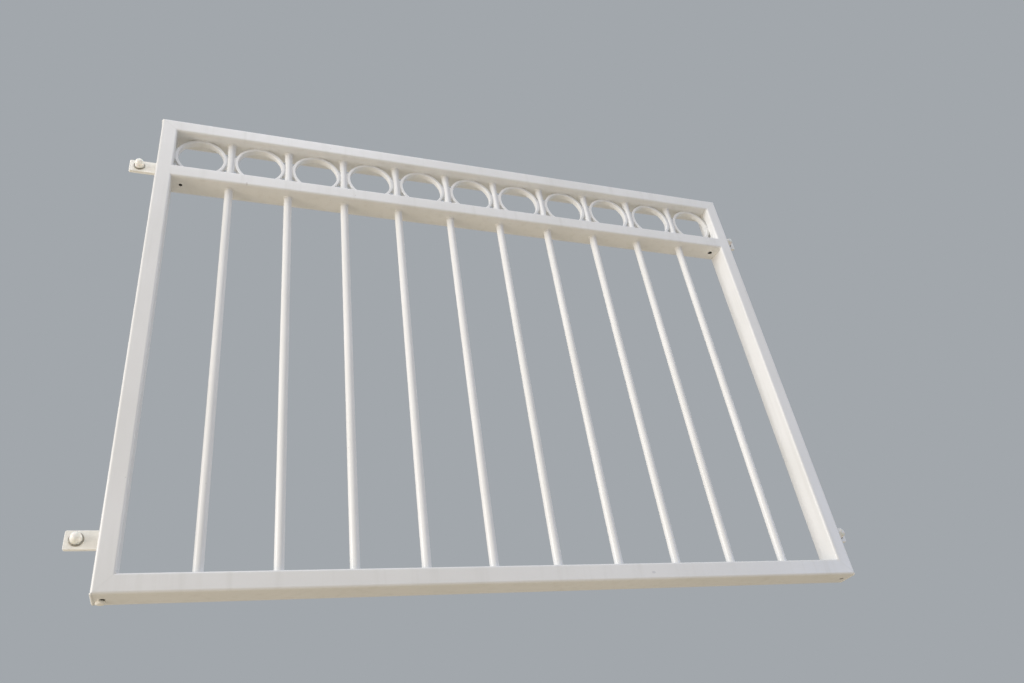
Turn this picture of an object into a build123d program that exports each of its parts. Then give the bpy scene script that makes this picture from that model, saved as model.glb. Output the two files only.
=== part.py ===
from build123d import *
import os

# Juliet balcony: a welded steel railing that is bolted flat on the wall in front of a window.
# A mitred frame of rectangular tube holds a row of rings above a cross rail, and round bars below it.
# Millimetres. +X runs right along the wall, +Y points into the wall and +Z is up.
# The origin is on the wall plane, in the middle of the lower left bracket's bearing face,
# halfway between the stile and the bolt hole.

# Rectangular tube of the frame and of the cross rail
tube_face = 30.0
tube_depth = 50.0
tube_wall = 2.0
tube_corner = 4.0

# Overall height of the frame; its width follows from the row of rings
frame_height = 990.0

# Rings of flat strip bent on edge, standing between the top rail and the cross rail
ring_count = 11
ring_diameter = 100.0
ring_strip_depth = 12.0
ring_strip_thickness = 6.0
ring_edge_round = 1.0

# Round bars below the cross rail, and short posts of the same bar between the rings
bar_diameter = 16.0

# Wall brackets of flat bar, welded to the outer sides of the stiles
bracket_height = 30.0
bracket_thickness = 6.0
lower_bracket_reach = 50.0
upper_bracket_reach = 53.0
bracket_corner = 3.0
bracket_edge_round = 1.0
lower_bracket_level = 97.0
upper_bracket_from_top = 102.0
bolt_hole_diameter = 9.0
bolt_reach = 34.0

# Vent holes under the two ends of the cross rail, and drain holes under the two ends of the bottom rail
left_vent_diameter = 7.0
right_vent_diameter = 10.0
vent_from_stile = 17.0
drain_diameter = 8.0

# Run of zinc that set beside the left drain hole, towards the wall and the outer side
run_diameter = 11.5
run_height = 4.5
run_behind_drain = 10.8
run_beside_drain = 3.4

# Levels and places that follow from the sizes above
bar_count = ring_count - 1
pitch = ring_diameter + bar_diameter
frame_width = 2 * tube_face + ring_count * ring_diameter + bar_count * bar_diameter
left = bolt_reach / 2
right = left + frame_width
bottom = -lower_bracket_level
top = bottom + frame_height
middle_depth = -tube_depth / 2
band_top = top - tube_face
band_bottom = band_top - ring_diameter
cross_rail_bottom = band_bottom - tube_face
bars_bottom = bottom + tube_face
first_ring_x = left + tube_face + ring_diameter / 2
first_bar_x = left + tube_face + ring_diameter + bar_diameter / 2


def tube_section(size_x, size_y):
    """The hollow outline of the tube, with its rounded corners."""
    outside = RectangleRounded(size_x, size_y, tube_corner)
    inner_corner = max(tube_corner - tube_wall, tube_wall / 4)
    inside = RectangleRounded(size_x - 2 * tube_wall, size_y - 2 * tube_wall, inner_corner)
    return outside - inside


def upright_tube(centre_x, low, high):
    """A length of tube standing on end, with its narrow face to the front."""
    section = Plane((centre_x, middle_depth, low)) * tube_section(tube_face, tube_depth)
    return extrude(section, amount=high - low, dir=(0, 0, 1))


def level_tube(low_x, high_x, centre_z):
    """A length of tube lying along the wall, with its narrow face to the front."""
    across = Plane(origin=(low_x, middle_depth, centre_z), x_dir=(0, 1, 0), z_dir=(1, 0, 0))
    return extrude(across * tube_section(tube_depth, tube_face), amount=high_x - low_x, dir=(1, 0, 0))


def mitred(tube, outline):
    """The part of a tube inside an outline seen from the front, which gives it mitred ends."""
    points = [(x, middle_depth, z) for x, z in outline]
    face = make_face(Polyline(*points, close=True))
    return tube & extrude(face, amount=tube_depth, dir=(0, 1, 0), both=True)


def stile(outer_x, inner_x):
    """An upright of the frame, from the bottom rail's mitre to the top rail's mitre."""
    outline = [(outer_x, bottom), (outer_x, top), (inner_x, band_top), (inner_x, bars_bottom)]
    return mitred(upright_tube((outer_x + inner_x) / 2, bottom, top), outline)


def frame_rail(outer_z, inner_z):
    """The top or bottom rail of the frame, from one stile's mitre to the other's."""
    outline = [
        (left, outer_z),
        (right, outer_z),
        (right - tube_face, inner_z),
        (left + tube_face, inner_z),
    ]
    return mitred(level_tube(left, right, (outer_z + inner_z) / 2), outline)


def hole_from_below(x, low_z, diameter):
    """A drill that goes through the lower wall of a level tube."""
    drill = Cylinder(diameter / 2, 2 * tube_wall + tube_corner, align=(Align.CENTER, Align.CENTER, Align.CENTER))
    return Pos(x, middle_depth, low_z) * drill


def bottom_rail():
    """The bottom rail of the frame, with a drain hole in each end."""
    rail = frame_rail(bottom, bars_bottom)
    for x in drain_places:
        rail -= hole_from_below(x, bottom, drain_diameter)
    return rail


def cross_rail():
    """The rail under the rings, butted between the stiles."""
    rail = level_tube(left + tube_face, right - tube_face, band_bottom - tube_face / 2)
    for x, diameter in zip(vent_places, (left_vent_diameter, right_vent_diameter)):
        rail -= hole_from_below(x, cross_rail_bottom, diameter)
    return rail


def round_bar(x, low, high):
    """A round bar at mid-depth between two rails."""
    rod = Cylinder(bar_diameter / 2, high - low, align=(Align.CENTER, Align.CENTER, Align.MIN))
    return Pos(x, middle_depth, low) * rod


def ring(x):
    """A ring at mid-depth that touches the rails above and below and the uprights beside it."""
    centre = Plane(origin=(x, middle_depth, (band_top + band_bottom) / 2), x_dir=(1, 0, 0), z_dir=(0, -1, 0))
    radius = ring_diameter / 2
    outline = Circle(radius) - Circle(radius - ring_strip_thickness)
    body = extrude(centre * outline, amount=ring_strip_depth / 2, both=True)
    rims = body.edges().filter_by(GeomType.CIRCLE)
    return fillet(rims, radius=min(ring_edge_round, ring_strip_thickness / 3, ring_strip_depth / 3))


def bracket(stile_x, side, centre_z, reach):
    """A wall bracket: side is -1 left of the frame and 1 right of it."""
    low_x = min(stile_x, stile_x + side * reach)
    plate = Pos(low_x, -bracket_thickness, centre_z - bracket_height / 2) * Box(
        reach,
        bracket_thickness,
        bracket_height,
        align=(Align.MIN, Align.MIN, Align.MIN),
    )
    outer_corners = plate.edges().filter_by(Axis.Y).group_by(Axis.X)[0 if side < 0 else -1]
    plate = fillet(outer_corners, radius=min(bracket_corner, bracket_height / 3))
    front_edges = plate.faces().sort_by(Axis.Y)[0].edges()
    weld_edge = front_edges.group_by(Axis.X)[-1 if side < 0 else 0]
    rounded = [edge for edge in front_edges if edge not in weld_edge]
    plate = fillet(rounded, radius=min(bracket_edge_round, bracket_thickness / 3))
    drill = Rot(90, 0, 0) * Cylinder(bolt_hole_diameter / 2, 4 * bracket_thickness)
    return plate - Pos(stile_x + side * bolt_reach, 0, centre_z) * drill


def zinc_run():
    """A low dome under the bottom rail, beside the left drain hole."""
    radius = run_diameter / 2
    x = drain_places[0] - run_beside_drain
    middle = Plane(origin=(x, middle_depth + run_behind_drain, bottom), x_dir=(1, 0, 0), z_dir=(0, -1, 0))
    curve = EllipticalCenterArc((0, 0), radius, run_height, -90, arc_size=90)
    base = Line((radius, 0), (0, 0))
    axis = Line((0, 0), (0, -run_height))
    half_section = make_face(middle * (curve + base + axis))
    return revolve(half_section, axis=Axis(middle.origin, (0, 0, 1)))


drain_places = [left + tube_face / 2, right - tube_face / 2]
vent_places = [left + tube_face + vent_from_stile, right - tube_face - vent_from_stile]
lower_bracket_z = bottom + lower_bracket_level
upper_bracket_z = top - upper_bracket_from_top

nodes = {
    "left_stile": stile(left, left + tube_face),
    "right_stile": stile(right, right - tube_face),
    "top_rail": frame_rail(top, band_top),
    "bottom_rail": bottom_rail(),
    "ring_rail": cross_rail(),
    "bracket_lower_left": bracket(left, -1, lower_bracket_z, lower_bracket_reach),
    "bracket_lower_right": bracket(right, 1, lower_bracket_z, lower_bracket_reach),
    "bracket_upper_left": bracket(left, -1, upper_bracket_z, upper_bracket_reach),
    "bracket_upper_right": bracket(right, 1, upper_bracket_z, upper_bracket_reach),
    "zinc_run": zinc_run(),
}

for index in range(ring_count):
    nodes[f"ring_{index + 1:02d}"] = ring(first_ring_x + index * pitch)

for index in range(bar_count):
    bar_x = first_bar_x + index * pitch
    nodes[f"bar_{index + 1:02d}"] = round_bar(bar_x, bars_bottom, cross_rail_bottom)
    nodes[f"ring_post_{index + 1:02d}"] = round_bar(bar_x, band_bottom, band_top)

os.makedirs("parts", exist_ok=True)
for name, solid in nodes.items():
    export_step(solid, f"parts/{name}.step")
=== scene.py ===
import math

import bmesh
import bpy
from mathutils import Matrix, Vector, noise


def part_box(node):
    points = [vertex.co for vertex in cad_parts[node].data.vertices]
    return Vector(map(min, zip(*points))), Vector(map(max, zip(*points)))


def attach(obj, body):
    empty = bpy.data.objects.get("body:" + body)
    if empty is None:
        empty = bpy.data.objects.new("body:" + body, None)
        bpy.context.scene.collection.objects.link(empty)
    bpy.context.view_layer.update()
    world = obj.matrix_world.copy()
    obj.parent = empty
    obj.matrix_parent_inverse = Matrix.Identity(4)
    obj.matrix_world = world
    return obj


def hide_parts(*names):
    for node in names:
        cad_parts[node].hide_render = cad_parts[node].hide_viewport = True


# A juliet balcony in white powder-coated steel, dressed around its solids.
# Metres. +X runs right along the wall, +Y points into the wall and +Z is up.
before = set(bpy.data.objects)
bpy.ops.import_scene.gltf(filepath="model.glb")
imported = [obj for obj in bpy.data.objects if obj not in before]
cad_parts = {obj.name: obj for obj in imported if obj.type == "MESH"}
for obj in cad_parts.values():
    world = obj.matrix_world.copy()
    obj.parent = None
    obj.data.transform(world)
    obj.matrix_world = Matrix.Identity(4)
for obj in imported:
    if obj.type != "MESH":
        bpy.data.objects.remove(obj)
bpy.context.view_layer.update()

MM = 0.001
BODY = "root"

# Places read from the solids
stile_low, stile_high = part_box("left_stile")
far_stile_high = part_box("right_stile")[1]
bottom_rail_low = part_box("bottom_rail")[0]
ring_rail_low, ring_rail_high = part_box("ring_rail")
front = stile_low.y
wall_plane = stile_high.y
middle_depth = (front + wall_plane) / 2
tube_face = stile_high.x - stile_low.x
frame_middle = Vector(((stile_low.x + far_stile_high.x) / 2, middle_depth, (stile_low.z + stile_high.z) / 2))
frame_half = Vector(((far_stile_high.x - stile_low.x) / 2, 0, (stile_high.z - stile_low.z) / 2))
rings = sorted(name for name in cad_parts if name.startswith("ring_") and name[5:].isdigit())
posts = sorted(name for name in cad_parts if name.startswith("ring_post_"))
bars = sorted(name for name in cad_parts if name.startswith("bar_"))
brackets = sorted(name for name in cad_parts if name.startswith("bracket_"))

# Camera of the photograph: the picture's width and the focal length in pixels, the sensor's width, and the
# camera's place, its turn to the right, its tilt up and its roll
photo_width = 1024
focal_pixels = 819.7
sensor_width_mm = 36.0
camera_place = Vector((0.1599, -1.2838, -0.5285))
camera_turn = math.radians(23.93)
camera_tilt = math.radians(34.29)
camera_roll = math.radians(-9.55)

# Painted shade in the drain and vent holes, a little above the underside of each tube, and a nick on the
# face of the cross rail and a smudge on the face of the bottom rail
hole_shade_rise = 1.0 * MM
vent_from_stile = 17.0 * MM
left_drain = (stile_low.x + tube_face / 2, middle_depth, bottom_rail_low.z + hole_shade_rise)
right_drain = (far_stile_high.x - tube_face / 2, middle_depth, bottom_rail_low.z + hole_shade_rise)
left_vent = (ring_rail_low.x + vent_from_stile, middle_depth, ring_rail_low.z + hole_shade_rise)
right_vent = (ring_rail_high.x - vent_from_stile, middle_depth, ring_rail_low.z + hole_shade_rise)
nick = (ring_rail_low.x + 141.0 * MM, front, ring_rail_low.z + 3.0 * MM)
smudge = (stile_low.x + 884.5 * MM, front, bottom_rail_low.z + 12.4 * MM)

# The painted shade in the holes and the stains on the coat: centre, half sizes in millimetres, hue, and
# share of that hue in the colour
stains_and_hole_shade = (
    # The first four are dark patches of painted shade in the holes
    (left_drain, (4.3, 4.3, 2.6), "#4A4230", 0.7),
    (right_drain, (3.9, 3.9, 2.6), "#6A614C", 0.6),
    (left_vent, (3.2, 3.2, 2.6), "#6A614C", 0.5),
    (right_vent, (5.1, 5.1, 2.6), "#4A4230", 0.7),
    (nick, (1.8, 3.0, 4.0), "#9A8B86", 0.28),
    (smudge, (3.4, 3.0, 2.0), "#9DA0A8", 0.3),
)

# Edge rounding of the tubes
tube_corner = 4.0 * MM

# Weld beads: radius on the bars, brackets and cross rail, on the upper outer corners of the frame, on its
# lower outer corners, which are dressed, and in its inner corners
bead_radius = 1.6 * MM
corner_bead_radius = 2.3 * MM
dressed_bead_radius = 2.5 * MM
inner_bead_radius = 1.5 * MM
bead_sides = 10

# How far the middle of a bead lies from its seam, as a share of its radius, the same for a dressed bead,
# and the share of its thickness that a dressed bead keeps
bead_offset = 0.3
dressed_offset = 0.36
dressed_share = 0.5

# Ripples along a weld and the slow unevenness below them, each as its length and how much it swells, and
# the share of its radius that a bead keeps at its ends
ripple_length = 3.2 * MM
ripple_swell = 0.07
drift_length = 6.0 * MM
drift_swell = 0.15
run_out_share = 0.2

# Weld that fills the crevice between a ring and its neighbour: half its length along the ring beside a
# post and on a flat side, and how far it stands back from the ring's edge, or forward onto a flat side
post_fill_half = 20.0 * MM
flat_fill_half = 17.0 * MM
fill_step_back = 0.8 * MM
fill_leg = 1.6 * MM

# The drop of zinc: how much further than its solid it reaches to each side and towards the drain hole,
# how much less towards the wall, how far it is moved to the right, how far its tip leans to the front, how
# steep its sides are, from 1 for a dome towards 0 for upright sides, and how uneven its outline is
drip_side = 1.7 * MM
drip_tongue = 4.8 * MM
drip_back = 1.1 * MM
drip_shift = 0.7 * MM
drip_lean = 1.6 * MM
drip_steepness = 0.5
drip_unevenness = 0.03

# Wall bolts: plain washer and screw cap, on the bracket's bolt hole. The cap's crown is an ellipse at a
# fullness of 2 and squarer above that. The left washers and caps sit a little off their holes' middle.
washer_radius = 10.7 * MM
washer_thickness = 1.5 * MM
cap_radius = 8.6 * MM
cap_height = 15.5 * MM
cap_straight = 5.0 * MM
cap_fullness = 2.3
bolt_radius = 4.0 * MM
bolt_from_stile = 34.0 * MM
bolt_shift = {"lower_left": (0.5 * MM, 0.5 * MM), "upper_left": (-0.5 * MM, 0.5 * MM)}

# Sockets of a node that mixes two colours: share of the upper one, lower colour, upper colour, and result
mix_share = 0
mix_lower = 6
mix_upper = 7
mix_result = 2


def linear(hex_colour):
    """The linear colour of an sRGB hex value."""
    channels = [int(hex_colour[i:i + 2], 16) / 255 for i in (1, 3, 5)]
    return [c / 12.92 if c <= 0.04045 else ((c + 0.055) / 1.055) ** 2.4 for c in channels] + [1.0]


def add(tree, kind, settings=None, links=None):
    """Adds a node, sets its properties and sockets, and links its inputs to other nodes' outputs."""
    node = tree.nodes.new(kind)
    for name, value in (settings or {}).items():
        if isinstance(name, str) and hasattr(node, name):
            setattr(node, name, value)
        else:
            node.inputs[name].default_value = value
    for name, (source, output) in (links or {}).items():
        tree.links.new(source.outputs[output], node.inputs[name])
    return node


def new_material(name):
    """A material without nodes, and the tree that they go in."""
    material = bpy.data.materials.new(name)
    material.use_nodes = True
    material.node_tree.nodes.clear()
    return material, material.node_tree


def mitre_seam(tree, parts):
    """The seams of the frame's mitres, as 1 on a mitre and 0 away from it. The mitres are ground flush, so
    only a faint line is left under the coat. parts is a point's place, split into X, Y and Z."""
    full_within = 0.4 * MM
    gone_beyond = 3.4 * MM
    corner_margin = 0.5 * MM
    reach = {}
    for axis in ("X", "Z"):
        middle = frame_middle.x if axis == "X" else frame_middle.z
        half = frame_half.x if axis == "X" else frame_half.z
        offset = add(tree, "ShaderNodeMath", {"operation": "SUBTRACT", 1: middle}, {0: (parts, axis)})
        size = add(tree, "ShaderNodeMath", {"operation": "ABSOLUTE"}, {0: (offset, "Value")})
        reach[axis] = add(tree, "ShaderNodeMath", {"operation": "SUBTRACT", 1: half}, {0: (size, "Value")})
    across = add(
        tree,
        "ShaderNodeMath",
        {"operation": "SUBTRACT"},
        {0: (reach["X"], "Value"), 1: (reach["Z"], "Value")},
    )
    distance = add(tree, "ShaderNodeMath", {"operation": "ABSOLUTE"}, {0: (across, "Value")})
    line = add(
        tree,
        "ShaderNodeMapRange",
        {"interpolation_type": "SMOOTHSTEP", "From Min": gone_beyond, "From Max": full_within},
        {"Value": (distance, "Value")},
    )

    # Only in the squares where a stile and a rail meet
    deeper = add(
        tree,
        "ShaderNodeMath",
        {"operation": "MINIMUM"},
        {0: (reach["X"], "Value"), 1: (reach["Z"], "Value")},
    )
    in_corner = add(
        tree,
        "ShaderNodeMath",
        {"operation": "GREATER_THAN", 1: -tube_face - corner_margin},
        {0: (deeper, "Value")},
    )
    return add(
        tree,
        "ShaderNodeMath",
        {"operation": "MULTIPLY"},
        {0: (line, "Result"), 1: (in_corner, "Value")},
    )


def marked(tree, place, source, output, marks):
    """Lays soft-edged patches over a colour: stains, and painted shade in holes. Each mark is a patch's
    centre, half sizes, hue and share.
    """
    full_within = 0.95
    gone_beyond = 1.15
    for centre, half_sizes, hue, share in marks:
        offset = add(
            tree,
            "ShaderNodeVectorMath",
            {"operation": "SUBTRACT", 1: centre},
            {0: (place, "Object")},
        )
        scaled = add(
            tree,
            "ShaderNodeVectorMath",
            {"operation": "DIVIDE", 1: [value * MM for value in half_sizes]},
            {0: (offset, "Vector")},
        )
        distance = add(tree, "ShaderNodeVectorMath", {"operation": "LENGTH"}, {0: (scaled, "Vector")})
        strength = add(
            tree,
            "ShaderNodeMapRange",
            {
                "interpolation_type": "SMOOTHSTEP",
                "From Min": gone_beyond,
                "From Max": full_within,
                "To Max": share,
            },
            {"Value": (distance, "Value")},
        )
        source = add(
            tree,
            "ShaderNodeMix",
            {"data_type": "RGBA", mix_upper: linear(hue)},
            {mix_share: (strength, "Result"), mix_lower: (source, output)},
        )
        output = mix_result
    return source


def powder_coated_steel(name, darker, lighter, marks):
    """White polyester powder coat over galvanised steel, sprayed and baked: an even satin white, with a
    faint orange peel that softens reflections, low waves from the zinc below, thin rain streaks down the
    upright faces, a little dust on the faces that look up, a few specks, and the marks: stains, and painted
    shade in the drain and vent holes."""
    material, tree = new_material(name)
    place = add(tree, "ShaderNodeTexCoord")
    parts = add(tree, "ShaderNodeSeparateXYZ", {}, {"Vector": (place, "Object")})
    seam = mitre_seam(tree, parts)

    clouds = add(
        tree,
        "ShaderNodeTexNoise",
        {"Scale": 1 / (140 * MM), "Detail": 3.0},
        {"Vector": (place, "Object")},
    )
    tone = add(tree, "ShaderNodeValToRGB", {}, {"Fac": (clouds, "Fac")})
    tone.color_ramp.elements[0].position = 0.3
    tone.color_ramp.elements[0].color = linear(darker)
    tone.color_ramp.elements[1].position = 0.7
    tone.color_ramp.elements[1].color = linear(lighter)

    # Streaks about 14 mm apart and 250 mm long
    stretch = add(
        tree,
        "ShaderNodeMapping",
        {"Scale": (1 / (14 * MM), 1 / (14 * MM), 1 / (250 * MM))},
        {"Vector": (place, "Object")},
    )
    streaks = add(tree, "ShaderNodeTexNoise", {"Scale": 1.0, "Detail": 4.0}, {"Vector": (stretch, "Vector")})
    streak_share = add(
        tree,
        "ShaderNodeMapRange",
        {"From Min": 0.52, "From Max": 0.78, "To Max": 0.22},
        {"Value": (streaks, "Fac")},
    )
    streaked = add(
        tree,
        "ShaderNodeMix",
        {"data_type": "RGBA", mix_upper: linear("#C9C8C0")},
        {mix_share: (streak_share, "Result"), mix_lower: (tone, "Color")},
    )

    # Dust on the faces that look up, in patches about 22 mm across
    surface = add(tree, "ShaderNodeNewGeometry")
    facing = add(tree, "ShaderNodeSeparateXYZ", {}, {"Vector": (surface, "Normal")})
    upward = add(
        tree,
        "ShaderNodeMapRange",
        {"From Min": 0.55, "From Max": 0.95, "To Max": 0.3},
        {"Value": (facing, "Z")},
    )
    grime = add(
        tree,
        "ShaderNodeTexNoise",
        {"Scale": 1 / (22 * MM), "Detail": 5.0, "Roughness": 0.62},
        {"Vector": (place, "Object")},
    )
    grime_share = add(
        tree,
        "ShaderNodeMath",
        {"operation": "MULTIPLY"},
        {0: (grime, "Fac"), 1: (upward, "Result")},
    )
    dusty = add(
        tree,
        "ShaderNodeMix",
        {"data_type": "RGBA", mix_upper: linear("#A9A493")},
        {mix_share: (grime_share, "Value"), mix_lower: (streaked, mix_result)},
    )

    # Specks of dirt about 2 mm across, some 40 mm apart
    specks = add(
        tree,
        "ShaderNodeTexVoronoi",
        {"Scale": 1 / (40 * MM), "Randomness": 1.0},
        {"Vector": (place, "Object")},
    )
    speck_share = add(
        tree,
        "ShaderNodeMapRange",
        {"interpolation_type": "SMOOTHSTEP", "From Min": 0.040, "From Max": 0.015, "To Max": 0.35},
        {"Value": (specks, "Distance")},
    )
    specked = add(
        tree,
        "ShaderNodeMix",
        {"data_type": "RGBA", mix_upper: linear("#8E897C")},
        {mix_share: (speck_share, "Result"), mix_lower: (dusty, mix_result)},
    )
    # Stains, and painted shade in the drain and vent holes
    stained_and_hole_shaded = marked(tree, place, specked, mix_result, marks)
    seamed = add(
        tree,
        "ShaderNodeMix",
        {"data_type": "RGBA", mix_upper: linear("#E8E8E5")},
        {mix_share: (seam, "Value"), mix_lower: (stained_and_hole_shaded, mix_result)},
    )

    # Orange peel about 4 mm across, and waves in the zinc about 30 mm long
    peel = add(
        tree,
        "ShaderNodeTexNoise",
        {"Scale": 1 / (4 * MM), "Detail": 1.0},
        {"Vector": (place, "Object")},
    )
    waves = add(
        tree,
        "ShaderNodeTexNoise",
        {"Scale": 1 / (30 * MM), "Detail": 1.0},
        {"Vector": (place, "Object")},
    )
    seam_bump = add(
        tree,
        "ShaderNodeBump",
        {"Strength": 0.25, "Distance": 0.15 * MM},
        {"Height": (seam, "Value")},
    )
    wave_bump = add(
        tree,
        "ShaderNodeBump",
        {"Strength": 0.10, "Distance": 1.0 * MM},
        {"Height": (waves, "Fac"), "Normal": (seam_bump, "Normal")},
    )
    peel_bump = add(
        tree,
        "ShaderNodeBump",
        {"Strength": 0.10, "Distance": 0.3 * MM},
        {"Height": (peel, "Fac"), "Normal": (wave_bump, "Normal")},
    )
    gloss = add(
        tree,
        "ShaderNodeMapRange",
        {"To Min": 0.28, "To Max": 0.44},
        {"Value": (streaks, "Fac")},
    )
    shader = add(
        tree,
        "ShaderNodeBsdfPrincipled",
        {"IOR": 1.5},
        {
            "Base Color": (seamed, mix_result),
            "Roughness": (gloss, "Result"),
            "Normal": (peel_bump, "Normal"),
        },
    )
    add(tree, "ShaderNodeOutputMaterial", {}, {"Surface": (shader, "BSDF")})
    return material


def zinc_plated_steel():
    """Zinc-plated washers gone dull outdoors: grey metal with a fine dark mottle."""
    material, tree = new_material("zinc_plated_steel")
    place = add(tree, "ShaderNodeTexCoord")
    mottle = add(
        tree,
        "ShaderNodeTexNoise",
        {"Scale": 1 / (3 * MM), "Detail": 4.0},
        {"Vector": (place, "Object")},
    )
    tone = add(tree, "ShaderNodeValToRGB", {}, {"Fac": (mottle, "Fac")})
    tone.color_ramp.elements[0].position = 0.35
    tone.color_ramp.elements[0].color = linear("#928C80")
    tone.color_ramp.elements[1].position = 0.65
    tone.color_ramp.elements[1].color = linear("#B8B5AC")
    rough = add(
        tree,
        "ShaderNodeMapRange",
        {"To Min": 0.45, "To Max": 0.65},
        {"Value": (mottle, "Fac")},
    )
    shader = add(
        tree,
        "ShaderNodeBsdfPrincipled",
        {"Metallic": 1.0},
        {"Base Color": (tone, "Color"), "Roughness": (rough, "Result")},
    )
    add(tree, "ShaderNodeOutputMaterial", {}, {"Surface": (shader, "BSDF")})
    return material


def moulded_polypropylene():
    """Moulded polypropylene of the screw caps: a creamy white with a soft gloss and faint weathering."""
    material, tree = new_material("moulded_polypropylene")
    place = add(tree, "ShaderNodeTexCoord")
    clouds = add(
        tree,
        "ShaderNodeTexNoise",
        {"Scale": 1 / (6 * MM), "Detail": 3.0},
        {"Vector": (place, "Object")},
    )
    tone = add(tree, "ShaderNodeValToRGB", {}, {"Fac": (clouds, "Fac")})
    tone.color_ramp.elements[0].position = 0.3
    tone.color_ramp.elements[0].color = linear("#F8F7EF")
    tone.color_ramp.elements[1].position = 0.7
    tone.color_ramp.elements[1].color = linear("#FDFDF8")
    gloss = add(
        tree,
        "ShaderNodeMapRange",
        {"To Min": 0.22, "To Max": 0.34},
        {"Value": (clouds, "Fac")},
    )
    shader = add(
        tree,
        "ShaderNodeBsdfPrincipled",
        {"IOR": 1.49, "Subsurface Weight": 0.04, "Subsurface Scale": 1.5 * MM},
        {"Base Color": (tone, "Color"), "Roughness": (gloss, "Result")},
    )
    add(tree, "ShaderNodeOutputMaterial", {}, {"Surface": (shader, "BSDF")})
    return material


def matt_floor():
    """A pale matt floor that throws soft warm light back up, and looks paler than that light."""
    material, tree = new_material("matt_floor")
    place = add(tree, "ShaderNodeTexCoord")
    clouds = add(
        tree,
        "ShaderNodeTexNoise",
        {"Scale": 1.2, "Detail": 2.0},
        {"Vector": (place, "Object")},
    )
    tone = add(tree, "ShaderNodeValToRGB", {}, {"Fac": (clouds, "Fac")})
    tone.color_ramp.elements[0].color = linear("#D5C9B1")
    tone.color_ramp.elements[1].color = linear("#DACFB9")
    path = add(tree, "ShaderNodeLightPath")
    paler = add(
        tree,
        "ShaderNodeMix",
        {"data_type": "RGBA", mix_upper: linear("#D3D1CC")},
        {mix_share: (path, "Is Camera Ray"), mix_lower: (tone, "Color")},
    )
    shader = add(
        tree,
        "ShaderNodeBsdfPrincipled",
        {"Roughness": 0.9},
        {"Base Color": (paler, mix_result)},
    )
    add(tree, "ShaderNodeOutputMaterial", {}, {"Surface": (shader, "BSDF")})
    return material


def lofted(mesh, loops, closed=False):
    """Adds a body through a row of loops with equal numbers of points, closed into a ring or capped."""
    rows = [[mesh.verts.new(point) for point in loop] for loop in loops]
    following = rows[1:] + rows[:1] if closed else rows[1:]
    for here, there in zip(rows, following):
        for k in range(len(here)):
            mesh.faces.new((here[k], here[k - 1], there[k - 1], there[k]))
    if not closed:
        mesh.faces.new(rows[0])
        mesh.faces.new(reversed(rows[-1]))


def sweep(mesh, path, radii, sideways, closed=False, pressed=None):
    """Adds a bead of changing radius to a mesh, along a path that never runs along sideways. It is round,
    or, where it is dressed, flatter in the direction pressed."""
    count = len(path)
    loops = []
    for i, point in enumerate(path):
        if closed:
            along = path[(i + 1) % count] - path[i - 1]
        else:
            along = path[min(i + 1, count - 1)] - path[max(i - 1, 0)]
        across = along.cross(sideways).normalized()
        upward = along.cross(across).normalized()
        angles = [math.tau * k / bead_sides for k in range(bead_sides)]
        spots = [(across * math.cos(angle) + upward * math.sin(angle)) * radii[i] for angle in angles]
        if pressed:
            spots = [spot - pressed * spot.dot(pressed) * (1 - dressed_share) for spot in spots]
        loops.append([point + spot for spot in spots])
    lofted(mesh, loops, closed)


def ripple(run, seed):
    """How much a weld swells at a distance along it: even ripples with a slow unevenness, which is read
    from another line of the noise for each seed."""
    line_spacing = 1.7
    line_level = 0.5
    wave = math.sin(math.tau * run / ripple_length)
    drift = noise.noise(Vector((run / drift_length, seed * line_spacing, line_level)))
    return 1 + ripple_swell * wave + drift_swell * drift


def rippled(path, radius, seed, closed=False, run_out=(3, 3)):
    """Radii along a path that swell and shrink like a weld bead, and run out over some points at the
    start and at the end where it is open."""
    radii = []
    run = 0.0
    for i, point in enumerate(path):
        if i:
            run += (point - path[i - 1]).length
        radii.append(radius * ripple(run, seed))
    if not closed:
        for i in range(len(radii)):
            from_end = min(1.0, i / run_out[0], (len(radii) - 1 - i) / run_out[1])
            radii[i] *= run_out_share + (1 - run_out_share) * math.sin(math.pi / 2 * from_end)
    return radii


def circle_path(centre, radius):
    """Points on a level circle."""
    steps = 40
    angles = [math.tau * i / steps for i in range(steps)]
    return [centre + Vector((radius * math.cos(angle), radius * math.sin(angle), 0)) for angle in angles]


def straight_path(start, end, steps):
    """Points on a straight line, at even steps from its start to its end."""
    return [start.lerp(end, i / steps) for i in range(steps + 1)]


def piece(name, mesh, material):
    """Turns a mesh into a smooth, closed piece that rides on the railing."""
    bmesh.ops.recalc_face_normals(mesh, faces=mesh.faces[:])
    data = bpy.data.meshes.new(name)
    mesh.to_mesh(data)
    mesh.free()
    data.shade_smooth()
    data.materials.append(material)
    obj = bpy.data.objects.new(name, data)
    bpy.context.scene.collection.objects.link(obj)
    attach(obj, BODY)
    return obj


def weld_bar_ends(name, uprights):
    """A fillet bead round both ends of each round bar."""
    mesh = bmesh.new()
    for index, upright in enumerate(uprights):
        low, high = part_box(upright)
        centre_x = (low.x + high.x) / 2
        bar_radius = (high.x - low.x) / 2
        for end, (level, inward) in enumerate(((low.z, 1), (high.z, -1))):
            centre = Vector((centre_x, middle_depth, level + inward * bead_offset * bead_radius))
            path = circle_path(centre, bar_radius + bead_offset * bead_radius)
            radii = rippled(path, bead_radius, 2 * index + end, closed=True)
            sweep(mesh, path, radii, Vector((0, 0, 1)), closed=True)
    piece(name, mesh, coat)


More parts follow.
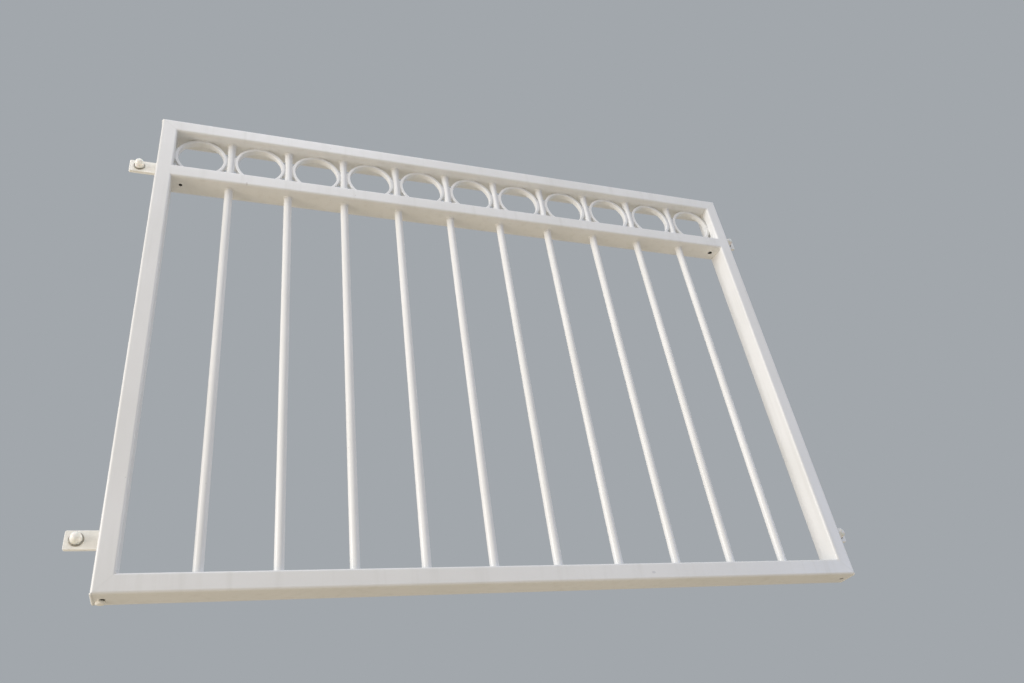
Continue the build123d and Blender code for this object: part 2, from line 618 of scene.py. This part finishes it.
def crevice_fill(mesh, ring_centre, ring_radius, ring_half_depth, outward, along, post_radius, seed):
    """Weld metal in the crevice between a ring and what it touches, which is a post or, where
    post_radius is 0, a flat side. It is deepest at the touch and runs out along the ring to a thin end. It
    bites a little into both neighbours, its face slumps between them, and it ripples less than a bead."""
    half_length = post_fill_half if post_radius else flat_fill_half
    bite = 0.4 * MM
    slump = 0.5 * MM
    thin_end = 0.06
    ripple_share = 0.35
    near = ring_half_depth - fill_step_back
    far = ring_half_depth - fill_step_back / 2 if post_radius else ring_half_depth + fill_leg
    steps = 26
    across_steps = 4
    touch = ring_centre + outward * ring_radius
    depth = Vector((0, 1, 0))
    loops = []
    for i in range(steps + 1):
        run = half_length * (2 * i / steps - 1)
        gap = ring_radius - math.sqrt(ring_radius ** 2 - run ** 2)
        run_out = max(thin_end, (1 - abs(run / half_length) ** 3) ** 0.5)
        swell = 1 + ripple_share * (ripple(run, seed) - 1)
        loop = []
        for side in (-1, 1):
            shares = [k / across_steps for k in range(across_steps + 1)]
            if side > 0:
                shares.reverse()
            for share in shares:
                half = (near + (far - near) * share - slump * math.sin(math.pi * share)) * run_out * swell
                reach = post_radius - math.sqrt(max(0.0, post_radius ** 2 - half ** 2)) if post_radius else 0
                offset = -(gap + bite) * (1 - share) + (reach + bite) * share
                loop.append(touch + outward * offset + depth * side * half + along * run)
        loops.append(loop)
    lofted(mesh, loops)


def weld_rings():
    """Fills the crevices where each ring touches the rail above, the rail below and its two neighbours."""
    mesh = bmesh.new()
    post_low, post_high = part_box(posts[0])
    post_radius = (post_high.x - post_low.x) / 2
    across = Vector((1, 0, 0))
    upright = Vector((0, 0, 1))
    for index, ring in enumerate(rings):
        low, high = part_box(ring)
        centre = (low + high) / 2
        radius = (high.x - low.x) / 2
        half_depth = (high.y - low.y) / 2
        left_radius = post_radius if index else 0
        right_radius = post_radius if index < len(rings) - 1 else 0
        touches = (
            (upright, across, 0),
            (-upright, across, 0),
            (-across, upright, left_radius),
            (across, upright, right_radius),
        )
        for number, (outward, along, neighbour_radius) in enumerate(touches):
            seed = 4 * index + number
            crevice_fill(mesh, centre, radius, half_depth, outward, along, neighbour_radius, seed)
    piece("weld_rings", mesh, coat)


def edge_recess(distance):
    """How far a tube's rounded edge stands back from one side, at a distance from the other side."""
    short = max(0.0, tube_corner - distance)
    return tube_corner - math.sqrt(tube_corner ** 2 - short ** 2)


def flush_fill(mesh, end_x, inward, surface, into, low_z, high_z):
    """Weld metal ground flush in the groove between a stile's rounded edge and the end of the cross
    rail. It stays a hair behind the tubes' faces, is slightly hollow and laps a little onto both tubes."""
    behind = 0.03 * MM
    hollow = 0.10 * MM
    thickness = 1.6 * MM
    overlap = 0.4 * MM
    steps = 24
    across_steps = 6
    loops = []
    for i in range(steps + 1):
        z = low_z + overlap + (high_z - low_z - 2 * overlap) * i / steps
        recess = edge_recess(min(z - low_z, high_z - z))
        outer_line = []
        for k in range(across_steps + 1):
            share = k / across_steps
            x = end_x + inward * (share * (tube_corner + 2 * overlap) - tube_corner - overlap)
            y = surface + into * (behind + recess + hollow * math.sin(math.pi * share))
            outer_line.append(Vector((x, y, z)))
        inner_line = [point + Vector((0, into * thickness, 0)) for point in reversed(outer_line)]
        loops.append(outer_line + inner_line)
    lofted(mesh, loops)


def weld_ring_rail():
    """Beads above and below each end of the cross rail, and flush welds at its front and back."""
    mesh = bmesh.new()
    steps = 40
    ends = ((ring_rail_low.x, 1), (ring_rail_high.x, -1))
    for index, (end_x, inward) in enumerate(ends):
        for number, level in enumerate((ring_rail_low.z, ring_rail_high.z)):
            x = end_x + inward * bead_offset * bead_radius
            start = Vector((x, front + tube_corner, level))
            end = Vector((x, wall_plane - tube_corner, level))
            path = straight_path(start, end, steps)
            radii = rippled(path, bead_radius, 2 * index + number)
            sweep(mesh, path, radii, Vector((0, 0, 1)))
        for surface, into in ((front, 1), (wall_plane, -1)):
            flush_fill(mesh, end_x, inward, surface, into, ring_rail_low.z, ring_rail_high.z)
    piece("weld_ring_rail", mesh, coat)


def weld_corners():
    """A bead along each outer edge of the four mitres, round onto the rounded edges of the tubes, and a
    smaller one in each inner corner. The lower outer beads are dressed flatter across the corner. The
    upper ones are ground level with the top rail, so they stand out to the side only. A bead ends a little
    short of the front and of the wall, and it follows most of the tubes' rounding at the front."""
    mesh = bmesh.new()
    end_gap = 0.8 * MM
    front_follow = 0.85
    run_out = (7, 14)
    first_seed = 20
    steps = 88
    side_inset = bead_offset * corner_bead_radius
    top_inset = (1 + bead_offset) * corner_bead_radius
    dressed_inset = dressed_offset * dressed_bead_radius
    inner_inset = tube_face + bead_offset * inner_bead_radius
    inner = (inner_inset, inner_inset, inner_bead_radius, -1, None)
    for index, (side, level) in enumerate(((-1, -1), (1, -1), (-1, 1), (1, 1))):
        if level > 0:
            outer = (side_inset, top_inset, corner_bead_radius, 1, None)
        else:
            outward = Vector((side, 0, level)).normalized()
            outer = (dressed_inset, dressed_inset, dressed_bead_radius, 1, outward)
        for number, (inset_x, inset_z, radius, follow, pressed) in enumerate((outer, inner)):
            path = []
            for i in range(steps + 1):
                y = front + end_gap + (wall_plane - front - 2 * end_gap) * i / steps
                at_front = edge_recess(y - front)
                recess = follow * (front_follow * at_front + edge_recess(wall_plane - y))
                path.append(Vector((
                    frame_middle.x + side * (frame_half.x - inset_x - recess),
                    y,
                    frame_middle.z + level * (frame_half.z - inset_z - recess),
                )))
            radii = rippled(path, radius, first_seed + 2 * index + number, run_out=run_out)
            sweep(mesh, path, radii, Vector((0, 0, 1)), pressed=pressed)
    piece("weld_corners", mesh, coat)


def beside_stile(low, high, distance):
    """The place along the wall at a distance from the stile, on a bracket between two corners."""
    on_left = high.x <= stile_low.x + MM
    return high.x - distance if on_left else low.x + distance


def weld_brackets():
    """A bead round the bottom, front and top of each bracket's inner end, on the stile's side. It ends a
    little short of the wall."""
    mesh = bmesh.new()
    wall_gap = 1.5 * MM
    short_steps = 6
    long_steps = 24
    for index, bracket in enumerate(brackets):
        low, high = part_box(bracket)
        x = beside_stile(low, high, bead_offset * bead_radius)
        turns = (
            Vector((x, high.y - wall_gap, low.z)),
            Vector((x, low.y, low.z)),
            Vector((x, low.y, high.z)),
            Vector((x, high.y - wall_gap, high.z)),
        )
        for number, steps in enumerate((short_steps, long_steps, short_steps)):
            path = straight_path(turns[number], turns[number + 1], steps)
            radii = rippled(path, bead_radius, 3 * index + number)
            sweep(mesh, path, radii, Vector((1, 0, 0)))
    piece("weld_brackets", mesh, creamy_coat_painted_lighter)


def zinc_drip():
    """The uneven drop of zinc that set beside the drain hole. Its coat is the brackets' creamier coat,
    which is also painted lighter than the frame's as painted light."""
    low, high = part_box("zinc_run")
    centre = (low + high) / 2
    half = (high - low) / 2
    height = high.z - low.z
    root = 0.4 * MM
    lumps_round = 1.2
    lumps_down = 0.8
    rounds = 24
    steps = 48
    loops = []
    for i in range(rounds):
        lean = math.pi / 2 * (1 - (1 - i / rounds) ** 2)
        width = math.cos(lean) ** drip_steepness
        drop = math.sin(lean)
        loop = []
        for k in range(steps):
            angle = math.tau * k / steps
            spot = (lumps_round * math.cos(angle), lumps_round * math.sin(angle), lumps_down * drop)
            reach = width * (1 + drip_unevenness * noise.noise(Vector(spot)))
            to_front = math.sin(angle) < 0
            half_length = half.y + drip_tongue if to_front else half.y - drip_back
            loop.append(Vector((
                centre.x + drip_shift + (half.x + drip_side) * reach * math.cos(angle),
                centre.y - drip_lean * drop + half_length * reach * math.sin(angle),
                high.z + root * (i == 0) - height * drop,
            )))
        loops.append(loop)
    mesh = bmesh.new()
    lofted(mesh, loops)
    drip = piece("zinc_drip", mesh, creamy_coat_painted_lighter)
    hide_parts("zinc_run")


def turned(mesh, profile, centre):
    """Adds a body turned about the bolt's axis. The profile is a list of (radius, distance from the
    bracket's face to the front), from the axis out and back to the axis."""
    steps = 64
    loops = []
    for radius, out in profile:
        if radius == 0:
            loops.append([mesh.verts.new(centre + Vector((0, -out, 0)))])
            continue
        angles = [math.tau * i / steps for i in range(steps)]
        spots = [Vector((radius * math.cos(angle), -out, radius * math.sin(angle))) for angle in angles]
        loops.append([mesh.verts.new(centre + spot) for spot in spots])
    for here, there in zip(loops, loops[1:]):
        for i in range(steps):
            corners = [(here, i), (here, i + 1), (there, i + 1), (there, i)]
            unique = list(dict.fromkeys(loop[k % len(loop)] for loop, k in corners))
            if len(unique) > 2:
                mesh.faces.new(unique)


def washer_profile(bracket_thickness):
    """A plain washer on the bracket's face, with the bolt's shank behind it."""
    edge = 0.3 * MM
    return [
        (0, -bracket_thickness),
        (bolt_radius, -bracket_thickness),
        (bolt_radius, 0),
        (washer_radius, 0),
        (washer_radius, washer_thickness - edge),
        (washer_radius - edge, washer_thickness),
        (bolt_radius, washer_thickness),
        (0, washer_thickness),
    ]


def cap_profile():
    """A screw cap on the washer: straight sides with a little draft and a full domed crown."""
    foot = washer_thickness
    foot_edge = 0.5 * MM
    draft = 0.2 * MM
    crown_start = foot + cap_straight
    crown_steps = 18
    profile = [(0, foot), (cap_radius - foot_edge, foot), (cap_radius, foot + foot_edge)]
    for i in range(crown_steps + 1):
        angle = math.pi / 2 * i / crown_steps
        radius = (cap_radius - draft) * math.cos(angle) ** (2 / cap_fullness)
        rise = (cap_height - cap_straight) * math.sin(angle) ** (2 / cap_fullness)
        profile.append((radius if i < crown_steps else 0, crown_start + rise))
    return profile


def wall_bolts():
    """The washer, bolt shank and cap on each bracket."""
    for bracket in brackets:
        low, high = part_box(bracket)
        x = beside_stile(low, high, bolt_from_stile)
        place = bracket.replace("bracket_", "")
        shift_x, shift_z = bolt_shift.get(place, (0.0, 0.0))
        centre = Vector((x + shift_x, low.y, (low.z + high.z) / 2 + shift_z))
        washer = bmesh.new()
        turned(washer, washer_profile(high.y - low.y), centre)
        piece("washer_" + place, washer, zinc)
        cap = bmesh.new()
        turned(cap, cap_profile(), centre)
        piece("cap_" + place, cap, plastic)


def dress_solids():
    """Gives each solid of the railing the powder coat, which has turned creamier on the brackets and is
    painted lighter there as painted bounced light.
    """
    for name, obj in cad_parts.items():
        for slot in obj.material_slots:
            slot.material = creamy_coat_painted_lighter if name in brackets else coat


def lamp(name, place, size, power, colour, spread=180):
    """A soft square lamp aimed at the middle of the railing: its place and size in metres, its power in
    watts, its colour, and the angle in degrees that its light spreads over."""
    data = bpy.data.lights.new(name, "AREA")
    data.spread = math.radians(spread)
    data.size = size
    data.energy = power
    data.color = linear(colour)[:3]
    obj = bpy.data.objects.new(name, data)
    obj.location = place
    obj.rotation_euler = (frame_middle - Vector(place)).to_track_quat("-Z", "Y").to_euler()
    bpy.context.scene.collection.objects.link(obj)


def studio():
    """A pale floor well below the railing, so wide that it reaches the horizon, a plain background, and
    soft lamps, the strongest on the left."""
    floor_drop = 1.6
    half_floor = 600.0
    floor_level = bottom_rail_low.z - floor_drop
    mesh = bpy.data.meshes.new("floor")
    corners = [(-1, -1), (1, -1), (1, 1), (-1, 1)]
    mesh.from_pydata([(half_floor * x, half_floor * y, floor_level) for x, y in corners], [], [(0, 1, 2, 3)])
    mesh.materials.append(matt_floor())
    floor = bpy.data.objects.new("floor", mesh)
    bpy.context.scene.collection.objects.link(floor)

    lamp("side_light", (-7.9, -2.4, 2.0), 3.0, 94, "#FDFDFF", 90)
    lamp("low_light", (-3.4, -1.3, -1.0), 1.6, 6.9, "#FFEFDF", 70)
    lamp("top_light", (0.4, -1.1, 2.7), 1.2, 14, "#EFF2FF")
    lamp("sky_light", (0.68, 0.1, 4.0), 2.0, 15, "#FFFFFF")
    lamp("right_light", (4.0, -2.6, 0.8), 1.6, 18, "#74AEFF")

    world = bpy.data.worlds.new("studio")
    bpy.context.scene.world = world
    world.use_nodes = True
    tree = world.node_tree
    tree.nodes.clear()
    path = add(tree, "ShaderNodeLightPath")
    seen = add(
        tree,
        "ShaderNodeMath",
        {"operation": "MAXIMUM"},
        {0: (path, "Is Camera Ray"), 1: (path, "Is Glossy Ray")},
    )
    seen_or_through = add(
        tree,
        "ShaderNodeMath",
        {"operation": "MAXIMUM"},
        {0: (seen, "Value"), 1: (path, "Is Transmission Ray")},
    )
    soft = add(tree, "ShaderNodeBackground", {"Color": linear("#FBFBFF"), "Strength": 0.55})
    shown = add(tree, "ShaderNodeBackground", {"Color": linear("#A2A7AC"), "Strength": 1.0})
    mixed = add(
        tree,
        "ShaderNodeMixShader",
        {},
        {0: (seen_or_through, "Value"), 1: (soft, "Background"), 2: (shown, "Background")},
    )
    add(tree, "ShaderNodeOutputWorld", {}, {"Surface": (mixed, "Shader")})


def camera():
    """A camera at the photograph's place, with its view."""
    data = bpy.data.cameras.new("camera")
    data.sensor_width = sensor_width_mm
    data.lens = sensor_width_mm * focal_pixels / photo_width
    obj = bpy.data.objects.new("camera", data)
    turn = Matrix.Rotation(-camera_turn, 4, "Z")
    tilt = Matrix.Rotation(math.pi / 2 + camera_tilt, 4, "X")
    roll = Matrix.Rotation(camera_roll, 4, "Z")
    obj.matrix_world = Matrix.Translation(camera_place) @ turn @ tilt @ roll
    bpy.context.scene.collection.objects.link(obj)
    bpy.context.scene.camera = obj


coat = powder_coated_steel("powder_coated_steel", "#E9E9E6", "#EFEFED", stains_and_hole_shade)
# The brackets' coat is creamier than the frame's, and its extra lightness is painted bounced light
creamy_coat_painted_lighter = powder_coated_steel("powder_coated_bracket", "#F5F3EC", "#FBFAF5", ())
zinc = zinc_plated_steel()
plastic = moulded_polypropylene()

dress_solids()
weld_bar_ends("weld_bars", bars)
weld_bar_ends("weld_ring_posts", posts)
weld_rings()
weld_ring_rail()
weld_corners()
weld_brackets()
zinc_drip()
wall_bolts()
studio()
camera()

bpy.context.scene.view_settings.view_transform = "Standard"
